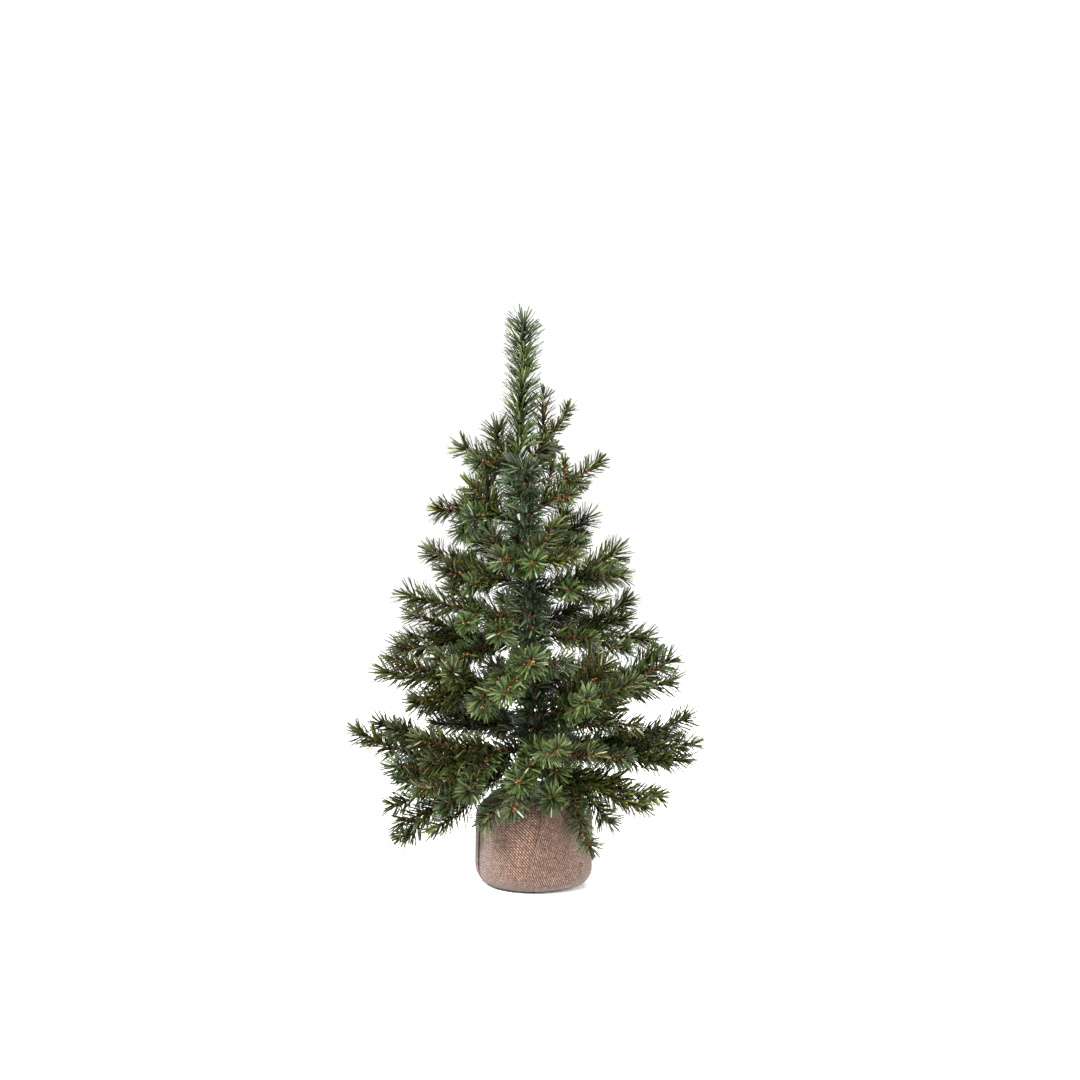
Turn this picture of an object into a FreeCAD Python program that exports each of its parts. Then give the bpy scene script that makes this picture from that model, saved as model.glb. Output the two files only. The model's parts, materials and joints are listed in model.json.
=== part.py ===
import FreeCAD, Part
import math
import os

from FreeCAD import Vector

# Artificial tabletop tree with a cloth-wrapped base. Lengths are in mm and angles in degrees.
# +Z is up, the origin is the middle of the base's underside, and the front of the tree faces -Y.
# Each branch is its own moving piece: a bundle of twisted wires with needle sleeves on it.

TREE_HEIGHT = 600.0

# Cloth-wrapped base, from the outside in.
SACK_RADIUS = 61.5
SACK_FOOT_ROUND = 22.0
SACK_WALL_TOP = 70.0
SACK_SHOULDER = (46.0, 91.0)
SHOULDER_BEND = (58.0, 82.0)
NECK_RADIUS = 12.5
NECK_BOTTOM = 98.0
NECK_TOP = 102.0
FRILL_RADIUS = 16.0
FRILL_TOP = 107.0
CLOTH = 1.6
TIE_STRING_RADIUS = 1.0
TIE_TURNS = 2
TIE_GAP = 0.1

POT_WALL = 1.8
POT_FLOOR_RADIUS = 39.0
POT_TOP_RADIUS = 57.0
POT_TOP = 72.0
POT_RIM = 2.0
CEMENT_DEPTH = 44.0
CASTING_GAP = 0.1

# The trunk leans to the left as it rises, and the leader tip stands straight up from its top.
TRUNK_FOOT_X = 5.0
TRUNK_TOP_X = -14.5
TRUNK_TOP = 444.0
TRUNK_RADIUS = 3.0
TRUNK_FOOT = 6.0
GARLAND_RADIUS = 7.0
GARLAND_BOTTOM = 109.0
GARLAND_HOLE_RADIUS = 3.2
GARLAND_SIDES = 12
HOLE_OVERRUN = 1.0

LEADER_WIRE_RADIUS = 1.6
LEADER_SLEEVE = [(0.5, 4.5), (26.0, 9.0), (130.0, 9.0), (156.0, 2.5)]
LEADER_WIRE_END = 14.0

# Branches. The hinge is where the wires leave the trunk's garland.
HINGE_RADIUS = 8.6
WIRE_RADIUS = 1.2
SIDE_WIRE_RADIUS = 1.0
WIRE_SHORT_OF_TIP = 16.0
SLEEVE_RADIUS = 5.0
STEM_SLEEVE_RADIUS = 4.5
SLEEVE_START_RADIUS = 2.2
SLEEVE_END_RADIUS = 2.5
STEM_SLEEVE_START = 8.0
STEM_SLEEVE_FULL = 16.0
FORK_GAP = 14.0
SLEEVE_FULL_FROM = 0.4
SLEEVE_FULL_TO = 0.75
SIDES = 6
ALMOST_UPRIGHT = 0.9999

# One row a branch: root height, azimuth, rise and length of its stem, then its tips as
# (share of the stem where the tip starts, swing from the stem's azimuth, rise, length).
# Azimuth 0 is +X and 90 is the back, +Y.
BRANCHES = [
    (444, 30, 42, 22, [(1, -30, 56, 58), (1, 54, 70, 64), (1, 38, -4, 40)]),
    (432, 152, 22, 28, [(1, 32, 28, 40), (0.2, 2, 72, 54), (0.6, 62, 12, 36)]),
    (410, 95, 30, 24, [(1, 0, 20, 55), (1, -50, 35, 48), (1, 48, 30, 50)]),
    (388, 8, 38, 45, [
        (1, 4, 38, 52), (1, -104, 58, 40), (1, 60, 10, 52), (0.5, -58, 12, 44), (0.3, -2, 76, 48),
    ]),
    (378, 168, 22, 42, [
        (1, 18, 0, 50), (1, -56, 8, 48), (0.5, 62, 6, 44), (0.3, 24, 46, 56), (1, 70, -38, 44),
        (0.5, -50, 56, 48),
    ]),
    (350, 38, 14, 38, [
        (1, -34, 40, 48), (1, 12, 8, 40), (1, 45, -5, 62), (0.5, -72, 4, 46), (0.4, -22, 56, 50),
    ]),
    (338, 280, 5, 28, [(1, -6, 8, 44), (1, 70, 6, 52), (1, -50, 10, 52), (0.6, 52, 54, 54)]),
    (330, 110, 16, 34, [(1, 4, 12, 68), (1, -55, 20, 58), (1, 42, 25, 60), (0.5, 52, 34, 64)]),
    (312, 172, 24, 45, [
        (1, 20, 22, 60), (1, -38, -4, 32), (1, -50, 5, 60), (0.5, 60, -4, 48), (0.4, 30, 12, 70),
        (0.3, 64, 68, 60),
    ]),
    (305, -4, 22, 45, [
        (1, 20, 32, 60), (1, -20, 6, 60), (1, 52, 5, 66), (0.5, -60, 0, 48), (0.6, -10, -20, 56),
    ]),
    (280, 204, 12, 45, [(1, -18, 14, 84), (1, -62, 32, 54), (1, 54, -6, 58), (0.5, 74, -18, 48)]),
    (262, 84, 12, 42, [
        (1, 0, 14, 76), (1, -42, 2, 72), (1, 40, 22, 66), (0.5, 72, 4, 54), (0.5, -66, 24, 72),
    ]),
    (258, 24, 6, 48, [
        (1, -2, 30, 72), (1, -28, 18, 58), (1, -18, -6, 84), (0.5, -70, 2, 56), (1, -50, -12, 66),
    ]),
    (252, 160, 6, 52, [
        (1, 22, 22, 76), (1, 4, 0, 84), (1, -48, 4, 72), (0.5, 64, -10, 58), (0.4, 48, -8, 84),
        (1, 18, -8, 86),
    ]),
    (236, 262, 2, 42, [(1, 18, 14, 68), (1, -8, -14, 80), (1, -36, -26, 76), (0.5, 58, 8, 58)]),
    (206, 192, 8, 52, [
        (1, -8, 18, 96), (1, -24, 6, 104), (1, 54, 22, 58), (0.5, 60, -8, 64), (0.3, -2, -6, 104),
        (1, -22, -20, 70),
    ]),
    (196, 108, 10, 48, [
        (1, 2, 10, 86), (1, -40, 20, 78), (1, 38, 0, 80), (0.5, -68, -4, 62), (0.5, -94, 16, 78),
        (0.5, -98, 22, 92),
    ]),
    (186, -2, 14, 55, [
        (1, -8, 26, 96), (1, 10, 10, 94), (1, 52, 5, 84), (0.5, 66, -4, 62), (0.4, -18, 36, 74),
        (1, 6, 20, 70), (1, 14, 30, 86), (0.4, -38, 52, 74),
    ]),
    (176, -50, 14, 42, [
        (1, -18, 24, 70), (1, 36, 50, 72), (1, 28, 26, 88), (0.5, 62, 4, 74), (0.4, 24, -2, 72),
        (1, 54, -10, 82),
    ]),
    (160, 132, 4, 50, [(1, -6, 4, 92), (1, 30, 12, 84), (1, -44, -4, 76), (0.5, 36, 2, 90)]),
    (146, 274, 2, 42, [
        (1, 12, 14, 90), (1, -18, -12, 74), (1, -24, -34, 86), (1, -62, -46, 96), (0.5, 56, 2, 74),
        (0.5, 28, -20, 50),
    ]),
    (140, 222, 6, 45, [
        (1, -16, 14, 90), (1, -22, -2, 74), (1, 30, -20, 86), (1, -2, -34, 84), (1, -16, -18, 96),
        (0.5, -10, -34, 100), (1, -34, 16, 110), (0.5, -16, -38, 118),
    ]),
    (134, 6, 10, 65, [
        (1, -4, 18, 98), (1, -20, 4, 104), (1, 16, 4, 86), (0.5, -46, 2, 78), (0.6, -18, -4, 100),
        (1, -20, -6, 94),
    ]),
    (128, 76, 8, 52, [
        (1, 0, 6, 100), (1, -38, -6, 88), (1, 34, 16, 90), (0.5, -66, 8, 78), (0.6, -76, 2, 104),
    ]),
    (120, -34, -6, 38, [
        (1, 10, -42, 66), (1, 40, -12, 102), (0.8, -32, -42, 94), (0.5, -62, -8, 66), (1, 34, -20, 86),
        (0.4, 28, -2, 76),
    ]),
    (118, 190, 2, 52, [
        (1, -4, 20, 136), (1, 20, 0, 86), (1, -8, -40, 112), (1, -40, -2, 85), (1, -4, 28, 120),
        (1, 6, 2, 84), (1, -6, -20, 102), (0.5, 2, -24, 124), (1, 14, 8, 96),
    ]),
]


def trunk_x(height):
    """X of the trunk's axis at a height."""
    return TRUNK_FOOT_X + (TRUNK_TOP_X - TRUNK_FOOT_X) * height / TRUNK_TOP


def direction(azimuth, rise):
    """Unit vector from an azimuth and a rise above level."""
    flat = math.cos(math.radians(rise))
    along_x = flat * math.cos(math.radians(azimuth))
    along_y = flat * math.sin(math.radians(azimuth))
    return Vector(along_x, along_y, math.sin(math.radians(rise)))


def ring(centre, normal, radius, sides=SIDES):
    """Corners of a regular polygon square to normal."""
    upright = abs(normal.z) > ALMOST_UPRIGHT
    across = Vector(1, 0, 0) if upright else normal.cross(Vector(0, 0, 1)).normalize()
    upward = normal.cross(across).normalize()
    corners = []
    for step in range(sides):
        turn = 2 * math.pi * step / sides
        corners.append(centre + across * (radius * math.cos(turn)) + upward * (radius * math.sin(turn)))
    return corners


def faceted(stations, normal, sides=SIDES):
    """Closed flat-faced solid through rings at (centre, radius) stations on one straight axis."""
    rings = [ring(centre, normal, radius, sides) for centre, radius in stations]
    faces = [flat_face(rings[0]), flat_face(rings[-1])]
    for lower, upper in zip(rings, rings[1:]):
        for step in range(sides):
            after = (step + 1) % sides
            faces.append(flat_face([lower[step], lower[after], upper[after], upper[step]]))
    solid = Part.makeSolid(Part.makeShell(faces))
    if solid.Volume < 0:
        solid.reverse()
    return solid


def flat_face(corners):
    return Part.Face(Part.makePolygon(corners + corners[:1]))


def rod(start, along, length, radius, sides=SIDES):
    """Straight flat-sided rod."""
    return faceted([(start, radius), (start + along * length, radius)], along, sides)


def revolved(points_and_arcs):
    """Solid of revolution about Z from edges of a closed outline in the XZ plane."""
    outline = Part.Wire(points_and_arcs)
    return Part.Face(outline).revolve(Vector(0, 0, 0), Vector(0, 0, 1), 360)


def line(start, end):
    return Part.LineSegment(Vector(start[0], 0, start[1]), Vector(end[0], 0, end[1])).toShape()


def arc(start, middle, end):
    places = [Vector(radius, 0, height) for radius, height in (start, middle, end)]
    return Part.Arc(*places).toShape()


def burlap_wrap():
    """Cloth sack: flat bottom, upright wall, domed shoulder, tied neck and a short frill."""
    def skin(inset):
        wall = SACK_RADIUS - inset
        foot = SACK_FOOT_ROUND - inset
        shoulder = (SACK_SHOULDER[0] - inset / 2, SACK_SHOULDER[1] - inset)
        quarter = foot * math.cos(math.radians(45))
        foot_middle = (wall - foot + quarter, inset + foot - quarter)
        return [
            line((wall - foot, inset), (0, inset)),
            arc((wall - foot, inset), foot_middle, (wall, inset + foot)),
            line((wall, inset + foot), (wall, SACK_WALL_TOP)),
            arc((wall, SACK_WALL_TOP), (SHOULDER_BEND[0] - inset, SHOULDER_BEND[1]), shoulder),
            line(shoulder, (NECK_RADIUS - inset, NECK_BOTTOM - inset)),
            line((NECK_RADIUS - inset, NECK_BOTTOM - inset), (NECK_RADIUS - inset, NECK_TOP)),
            line((NECK_RADIUS - inset, NECK_TOP), (FRILL_RADIUS - inset, FRILL_TOP)),
        ]
    outside = skin(0.0)
    inside = skin(CLOTH)
    bottom = line((0, 0), (0, CLOTH))
    hem = line((FRILL_RADIUS - CLOTH, FRILL_TOP), (FRILL_RADIUS, FRILL_TOP))
    return revolved(Part.__sortEdges__(outside + inside + [bottom, hem]))


def base_pot():
    """Tapered plastic pot with a rolled rim, standing on the cloth's bottom."""
    floor = CLOTH
    top = POT_TOP
    inner_top = POT_TOP_RADIUS - POT_WALL
    inner_floor = POT_FLOOR_RADIUS - POT_WALL
    corners = [
        (0, floor),
        (POT_FLOOR_RADIUS, floor),
        (POT_TOP_RADIUS, top - POT_RIM),
        (POT_TOP_RADIUS + POT_RIM, top - POT_RIM),
        (POT_TOP_RADIUS + POT_RIM, top),
        (inner_top, top),
        (inner_floor, floor + POT_WALL),
        (0, floor + POT_WALL),
    ]
    return revolved([line(start, end) for start, end in zip(corners, corners[1:] + corners[:1])])


def trunk_cylinder(radius, bottom, top):
    """Round bar along the leaning trunk axis."""
    start = Vector(trunk_x(bottom), 0, bottom)
    end = Vector(trunk_x(top), 0, top)
    return Part.makeCylinder(radius, start.distanceToPoint(end), start, end - start)


def cement_weight():
    """Cement cast in the pot round the trunk's foot."""
    bottom = CLOTH + POT_WALL
    slope = (POT_TOP_RADIUS - POT_FLOOR_RADIUS) / (POT_TOP - bottom)
    low_radius = POT_FLOOR_RADIUS - POT_WALL - CASTING_GAP
    high_radius = low_radius + slope * CEMENT_DEPTH
    casting = Part.makeCone(low_radius, high_radius, CEMENT_DEPTH, Vector(0, 0, bottom))
    return casting.cut(trunk_rod())


def trunk_rod():
    return trunk_cylinder(TRUNK_RADIUS, TRUNK_FOOT, TRUNK_TOP)


def trunk_garland():
    """Needle garland wound round the trunk from the sack to the leader."""
    start = Vector(trunk_x(GARLAND_BOTTOM), 0, GARLAND_BOTTOM)
    end = Vector(trunk_x(TRUNK_TOP), 0, TRUNK_TOP)
    along = (end - start).normalize()
    length = start.distanceToPoint(end)
    wound = rod(start, along, length, GARLAND_RADIUS, GARLAND_SIDES)
    hole_start = start - along * HOLE_OVERRUN
    hole = rod(hole_start, along, length + 2 * HOLE_OVERRUN, GARLAND_HOLE_RADIUS, GARLAND_SIDES)
    return wound.cut(hole)


def neck_tie():
    """Turns of jute string that close the sack's neck."""
    ring_radius = NECK_RADIUS + TIE_STRING_RADIUS + TIE_GAP
    middle = (NECK_BOTTOM + NECK_TOP) / 2
    turns = []
    for turn in range(TIE_TURNS):
        height = middle + (turn - (TIE_TURNS - 1) / 2) * (2 * TIE_STRING_RADIUS + TIE_GAP)
        turns.append(Part.makeTorus(ring_radius, TIE_STRING_RADIUS, Vector(0, 0, height)))
    return Part.makeCompound(turns)


def leader_wire():
    length = TREE_HEIGHT - TRUNK_TOP - LEADER_WIRE_END
    return rod(Vector(TRUNK_TOP_X, 0, TRUNK_TOP), Vector(0, 0, 1), length, LEADER_WIRE_RADIUS)


def leader_needles():
    """Core of the upright top tip."""
    foot = Vector(TRUNK_TOP_X, 0, TRUNK_TOP)
    stations = [(foot + Vector(0, 0, height), radius) for height, radius in LEADER_SLEEVE]
    return faceted(stations, Vector(0, 0, 1))


class Branch:
    """Where one branch's stem and tips run."""

    def __init__(self, row):
        root_height, azimuth, rise, self.stem_length, tips = row
        level_out = direction(azimuth, 0)
        axis_point = Vector(trunk_x(root_height), 0, root_height)
        self.root = axis_point + level_out * HINGE_RADIUS
        self.stem = direction(azimuth, rise)
        self.fork = self.root + self.stem * self.stem_length
        self.tips = []
        for share, swing, lift, length in tips:
            start = self.root + self.stem * (self.stem_length * share)
            self.tips.append((start, direction(azimuth + swing, lift), length))

    def wires(self):
        """Stem wire and one wire a tip, twisted together where the tip starts."""
        bundle = rod(self.root, self.stem, self.stem_length + WIRE_RADIUS / 2, WIRE_RADIUS)
        for start, along, length in self.tips:
            bundle = bundle.fuse(rod(start, along, length - WIRE_SHORT_OF_TIP, SIDE_WIRE_RADIUS))
        return bundle.removeSplitter()

    def needles(self):
        """Core of the needles round the stem and round each tip, as separate sleeves."""
        stem_stations = [
            (self.root + self.stem * STEM_SLEEVE_START, SLEEVE_START_RADIUS),
            (self.root + self.stem * STEM_SLEEVE_FULL, STEM_SLEEVE_RADIUS),
            (self.fork, STEM_SLEEVE_RADIUS),
        ]
        sleeves = [faceted(stem_stations, self.stem)]
        for start, along, length in self.tips:
            stations = [
                (start + along * FORK_GAP, SLEEVE_START_RADIUS),
                (start + along * (length * SLEEVE_FULL_FROM + FORK_GAP / 2), SLEEVE_RADIUS),
                (start + along * (length * SLEEVE_FULL_TO), SLEEVE_RADIUS),
                (start + along * length, SLEEVE_END_RADIUS),
            ]
            sleeves.append(faceted(stations, along))
        return Part.makeCompound(sleeves)


def write(name, shape):
    shape.exportStep(os.path.join("parts", name + ".step"))


def main():
    os.makedirs("parts", exist_ok=True)
    for make in (
        burlap_wrap,
        base_pot,
        cement_weight,
        trunk_rod,
        trunk_garland,
        neck_tie,
        leader_wire,
        leader_needles,
    ):
        write(make.__name__, make())
    for number, row in enumerate(BRANCHES, start=1):
        branch = Branch(row)
        write(f"branch_{number:02d}_wire", branch.wires())
        write(f"branch_{number:02d}_needles", branch.needles())


main()
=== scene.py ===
import json
import math
from collections import namedtuple

import bpy
import numpy as np
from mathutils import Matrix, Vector

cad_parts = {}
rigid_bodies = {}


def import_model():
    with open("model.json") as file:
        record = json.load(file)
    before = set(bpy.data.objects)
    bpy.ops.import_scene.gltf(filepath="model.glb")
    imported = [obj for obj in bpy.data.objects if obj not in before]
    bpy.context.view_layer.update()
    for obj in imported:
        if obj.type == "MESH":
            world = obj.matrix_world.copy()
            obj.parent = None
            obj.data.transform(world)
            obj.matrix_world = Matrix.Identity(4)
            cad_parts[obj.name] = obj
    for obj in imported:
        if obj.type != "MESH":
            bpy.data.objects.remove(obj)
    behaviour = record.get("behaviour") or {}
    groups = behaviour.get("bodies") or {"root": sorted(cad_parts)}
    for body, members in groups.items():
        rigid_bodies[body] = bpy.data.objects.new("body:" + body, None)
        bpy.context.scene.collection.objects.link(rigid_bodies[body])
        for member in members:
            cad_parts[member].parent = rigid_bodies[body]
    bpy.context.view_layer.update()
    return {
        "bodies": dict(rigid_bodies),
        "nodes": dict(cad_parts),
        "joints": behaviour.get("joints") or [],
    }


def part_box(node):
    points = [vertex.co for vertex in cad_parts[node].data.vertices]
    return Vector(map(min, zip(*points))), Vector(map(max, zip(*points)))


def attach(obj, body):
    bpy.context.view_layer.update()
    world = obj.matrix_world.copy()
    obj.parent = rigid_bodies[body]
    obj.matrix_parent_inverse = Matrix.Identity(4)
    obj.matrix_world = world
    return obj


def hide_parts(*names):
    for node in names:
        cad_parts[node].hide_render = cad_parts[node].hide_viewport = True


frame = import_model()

# Looks of the artificial tabletop tree. Lengths are in metres. Where each stem and tip runs is read
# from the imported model: a needle node holds one slim core round the stem and one round each tip.

SEED = 20240
MM = 0.001
UP = np.array([0.0, 0.0, 1.0])
FULL_TURN = 2 * math.pi
TINY = 1e-12

# Needles: strips cut from plastic film. Rings are at shares of the length, with shares of the width.
NEEDLE_LENGTH = 20.0 * MM
NEEDLE_WIDTH = 1.65 * MM
NEEDLE_THICKNESS = 0.25 * MM
RING_PLACES = np.array([0.0, 0.36, 0.72, 1.0])
RING_WIDTHS = np.array([0.8, 1.0, 1.0, 0.7])
STRIP_SIDES = 3
STRIP_CORNERS = STRIP_SIDES * len(RING_PLACES)

# How the needles stand in the twist of the wires. Sweep is the angle from the wire. Towards an open
# end they close up and get shorter, and a tuft fills the end.
NEEDLES_PER_METRE = 3300
TWIST_PITCH = 9.6 * MM
SWEEP = math.radians(58)
END_SWEEP = math.radians(48)
END_RUN = 9.0 * MM
END_LENGTH = 0.92
TUFT_NEEDLES = 8
TUFT_RUN = 5.0 * MM
TUFT_SWEEP_SHARES = (0.05, 1.0)
WIRE_SHORT_OF_TIP = 7.5 * MM

# Chance differences between needles, as spreads. Some of them grow with the brush's disorder.
USUAL_DISORDER = 0.3
LEAST_SPREAD = 0.03
SWEEP_SPREAD = 0.25
BEND_SPREAD = 0.2
CURL = 0.12
CURL_SPREAD = 0.12
ROLL_SPREAD = 0.5
LENGTH_SPREAD = 0.06
LENGTH_LIMITS = (0.75, 1.15)

# A needle's tone runs from 0, dark, up to LIGHT_TONE, and a few needles are pale, a painted highlight.
# Its cool runs from 0, warm green, to 1, cool green.
USUAL_COOL = 0.4
TONE_SPREAD = 0.34
LIGHT_TONE = 0.92
PAINTED_HIGHLIGHT_TONE = 1.0
PAINTED_HIGHLIGHT_SHARE = 0.015
COOL_SPREAD = 0.16

# Needles round the trunk that don't point this far outwards are pushed outwards.
OUTWARD_AT_LEAST = 0.15
OUTWARD_PUSH = 1.9

# Stems and tips: how hard a line is pulled at its ends, and how far tips turn up and stray.
CORE_TO_START = 14.0 * MM
STEM_PULL = 30.0 * MM
STEM_TONE = 0.3
TIP_ALONG_STEM = 0.4
TIP_UPWARD = 0.2
TIP_ASTRAY = 0.05

# Looks of one tip: ranges of chance, or a middle and its spread. Length is a share of the full one.
TIP_LENGTHS = (0.84, 1.12)
TIP_DENSITIES = (0.85, 1.15)
TIP_DISORDERS = (0.08, 0.32)
TIP_TONE = 0.33
TIP_TONE_SPREAD = 0.07
TIP_COOL = 0.24
TIP_COOL_SPREAD = 0.14

# Some branches near the top are younger, with shorter and fewer needles.
YOUNG_BRANCHES = ("01", "04")
YOUNG_SHORTER = 0.22
YOUNG_THINNER = 0.3

# Tips that point to the front are shorter, untidier and bent up, and get painted light: a lighter, cooler
# green.
FACING_SHORTER = 0.16
FACING_UNTIDIER = 0.45
FACING_UPWARD = 0.5
FACING_ASTRAY = 0.3
FACING_PAINTED_LIGHT = 0.22
FACING_PAINTED_COOL = 0.45

# Twisted wires and the brown film that frays out between their turns.
STRAND_RADIUS = 0.55 * MM
STRAND_SIDES = 5
ROOT_RADIUS = STRAND_RADIUS * 0.8
WIRE_STEP = 0.9 * MM
FEWEST_WIRE_POINTS = 8
STUB = 4.0 * MM
STEM_BARE = 6.0 * MM
FRAY_LENGTH = 4.2 * MM
FRAY_WIDTH = 1.6 * MM
FRAY_LENGTH_SHARES = (0.6, 1.1)
FRAY_LEAN = (0.9, 1.4)
FRAY_SHIFT = 0.5 * MM
FRAYS_A_HALF_TURN = 8

# The leader bows and leans a little to the right. Its needles are longer and denser.
LEADER_BOW = 0.04
LEADER_LEAN = 2.5 * MM
LEADER_BARE_END = 14.0 * MM
LEADER_NEEDLE_LENGTH = NEEDLE_LENGTH * 1.18
LEADER_TONE = 0.5
LEADER_DENSITY = 1.4
LEADER_COOL = 0.55

# The garland is wound round the trunk.
GARLAND_PITCH = 15.0 * MM
GARLAND_RADIUS = 5.5 * MM
GARLAND_STEPS_A_TURN = 14
GARLAND_TONE = 0.28
GARLAND_DENSITY = 0.95
GARLAND_DISORDER = 0.6

# Fineness of lines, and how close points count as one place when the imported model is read.
PATH_STEP = 1.5 * MM
FEWEST_PATH_POINTS = 6
NEARLY_UPRIGHT = 0.05
SAME_POINT = 0.02 * MM
CORE_END_SLICE = 0.3 * MM
GARLAND_END_SLICE = 1.0 * MM

rng = np.random.default_rng(SEED)


# -------------------------------------------------- vectors and paths

def unit(vectors):
    vectors = np.asarray(vectors, float)
    return vectors / np.maximum(np.linalg.norm(vectors, axis=-1, keepdims=True), TINY)


def hermite(start, start_pull, end, end_pull):
    """Smooth points from start to end, leaving along start_pull and arriving along end_pull."""
    count = max(FEWEST_PATH_POINTS, int(np.linalg.norm(end - start) / PATH_STEP))
    t = np.linspace(0, 1, count)[:, None]
    return (
        (2 * t**3 - 3 * t**2 + 1) * start
        + (t**3 - 2 * t**2 + t) * start_pull
        + (3 * t**2 - 2 * t**3) * end
        + (t**3 - t**2) * end_pull
    )


def smoothstep(values, low, high):
    """0 below low, 1 above high and a smooth rise between them."""
    share = np.clip((values - low) / (high - low), 0, 1)
    return share * share * (3 - 2 * share)


def wrapped(values, circle):
    """values brought to within half a circle of zero."""
    return (values + circle / 2) % circle - circle / 2


class Path:
    """A smooth line with a frame carried along it without twist."""

    def __init__(self, points):
        self.points = np.asarray(points, float)
        steps = np.linalg.norm(np.diff(self.points, axis=0), axis=1)
        self.places = np.concatenate([[0], np.cumsum(steps)])
        self.length = self.places[-1]
        self.tangents = unit(np.gradient(self.points, self.places, axis=0))
        self.normals = self._carried_normals()
        self.sides = np.cross(self.tangents, self.normals)

    def _carried_normals(self):
        first = np.cross(self.tangents[0], UP)
        if np.linalg.norm(first) < NEARLY_UPRIGHT:
            first = np.array([1.0, 0.0, 0.0])
        normals = [unit(first)]
        for tangent in self.tangents[1:]:
            carried = normals[-1] - tangent * np.dot(normals[-1], tangent)
            normals.append(unit(carried))
        return np.array(normals)

    def at(self, places):
        """Points, tangents, normals and side vectors at distances along the path."""
        columns = []
        for table in (self.points, self.tangents, self.normals, self.sides):
            picked = [np.interp(places, self.places, table[:, axis]) for axis in range(3)]
            columns.append(np.stack(picked, axis=-1))
        points, tangents, normals, sides = columns
        return points, unit(tangents), unit(normals), unit(sides)


def spokes(angles, normals, sides):
    """Unit vectors turned by angles from the normals towards the sides."""
    return np.cos(angles)[:, None] * normals + np.sin(angles)[:, None] * sides


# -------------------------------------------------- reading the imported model

def islands(node):
    """Separate solids of a CAD node, each as the array of its corner points."""
    mesh = frame["nodes"][node].data
    corners = np.array([vertex.co for vertex in mesh.vertices], float)
    keys = np.unique(np.round(corners / SAME_POINT), axis=0, return_inverse=True)[1].ravel()
    parent = list(range(keys.max() + 1))

    def root_of(item):
        while parent[item] != item:
            parent[item] = parent[parent[item]]
            item = parent[item]
        return item

    for edge in mesh.edges:
        a, b = (root_of(keys[index]) for index in edge.vertices)
        parent[a] = b
    groups = {}
    for index, key in enumerate(keys):
        groups.setdefault(root_of(key), {})[key] = corners[index]
    return [np.array(list(group.values())) for group in groups.values()]


def core_axis(points):
    """The two end points of a slim core's axis."""
    middle = points.mean(axis=0)
    along = np.linalg.svd(points - middle)[2][0]
    reach = (points - middle) @ along
    low = points[reach < reach.min() + CORE_END_SLICE].mean(axis=0)
    high = points[reach > reach.max() - CORE_END_SLICE].mean(axis=0)
    return low, high


def nearer_first(pair, place):
    return sorted(pair, key=lambda point: np.linalg.norm(point - place))


def branch_lines(node, hinge):
    """The fork of one branch and each tip's start and end, from its needle cores."""
    axes = [nearer_first(core_axis(points), hinge) for points in islands(node)]
    axes.sort(key=lambda axis: np.linalg.norm(axis[0] - hinge))
    fork = axes[0][1]
    tips = []
    for axis in axes[1:]:
        near, far = nearer_first(axis, (hinge + fork) / 2)
        tips.append((near - unit(far - near) * CORE_TO_START, far))
    return fork, tips


# -------------------------------------------------- mesh helpers

def mesh_object(name, vertices, faces, materials, attributes=None, face_slots=None, smooth=False):
    mesh = bpy.data.meshes.new(name)
    mesh.from_pydata([tuple(v) for v in vertices], [], [tuple(f) for f in faces])
    for material in materials:
        mesh.materials.append(material)
    for key, values in (attributes or {}).items():
        layer = mesh.attributes.new(key, "FLOAT", "POINT")
        layer.data.foreach_set("value", np.asarray(values, np.float32))
    if face_slots is not None:
        mesh.polygons.foreach_set("material_index", np.asarray(face_slots, np.int32))
    if smooth:
        mesh.polygons.foreach_set("use_smooth", np.ones(len(mesh.polygons), bool))
    mesh.update()
    piece = bpy.data.objects.new(name, mesh)
    bpy.context.scene.collection.objects.link(piece)
    return piece


def ring_faces(ring_count, sides):
    """Four-sided faces between neighbouring rings of points, each ring closed on itself."""
    faces = []
    for ring in range(ring_count - 1):
        low, high = ring * sides, (ring + 1) * sides
        for side in range(sides):
            after = (side + 1) % sides
            faces.append((low + side, low + after, high + after, high + side))
    return faces


def tube_faces(ring_count, sides):
    """Faces of a closed tube: its wall and then its two ends."""
    last = (ring_count - 1) * sides
    ends = [tuple(reversed(range(sides))), tuple(range(last, last + sides))]
    return ring_faces(ring_count, sides) + ends


def tube(points, radius, sides=6):
    """Closed tube through points: its vertices and faces."""
    path = Path(points)
    turns = np.linspace(0, FULL_TURN, sides, endpoint=False)
    across = np.cos(turns)[None, :, None] * path.normals[:, None]
    upward = np.sin(turns)[None, :, None] * path.sides[:, None]
    vertices = (path.points[:, None] + (across + upward) * radius).reshape(-1, 3)
    return vertices, tube_faces(len(path.points), sides)


class Bundle:
    """Several meshes gathered into one piece."""

    def __init__(self):
        self.vertices = []
        self.faces = []
        self.slots = []
        self.attributes = {}
        self.count = 0

    def add(self, vertices, faces, slot=0, **attributes):
        self.vertices.append(np.asarray(vertices))
        self.faces.extend(tuple(index + self.count for index in face) for face in faces)
        self.slots.extend([slot] * len(faces))
        for key, values in attributes.items():
            self.attributes.setdefault(key, []).append(values)
        self.count += len(vertices)

    def build(self, name, materials, smooth=False):
        joined = {key: np.concatenate(values) for key, values in self.attributes.items()}
        return mesh_object(name, np.concatenate(self.vertices), self.faces, materials,
                           joined, self.slots, smooth)


# -------------------------------------------------- needles and frays

STRIP_FACES = tube_faces(len(RING_PLACES), STRIP_SIDES)


def per_corner(values):
    """One value a strip, repeated for each of the strip's corners."""
    return np.repeat(values, STRIP_CORNERS)


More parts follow.
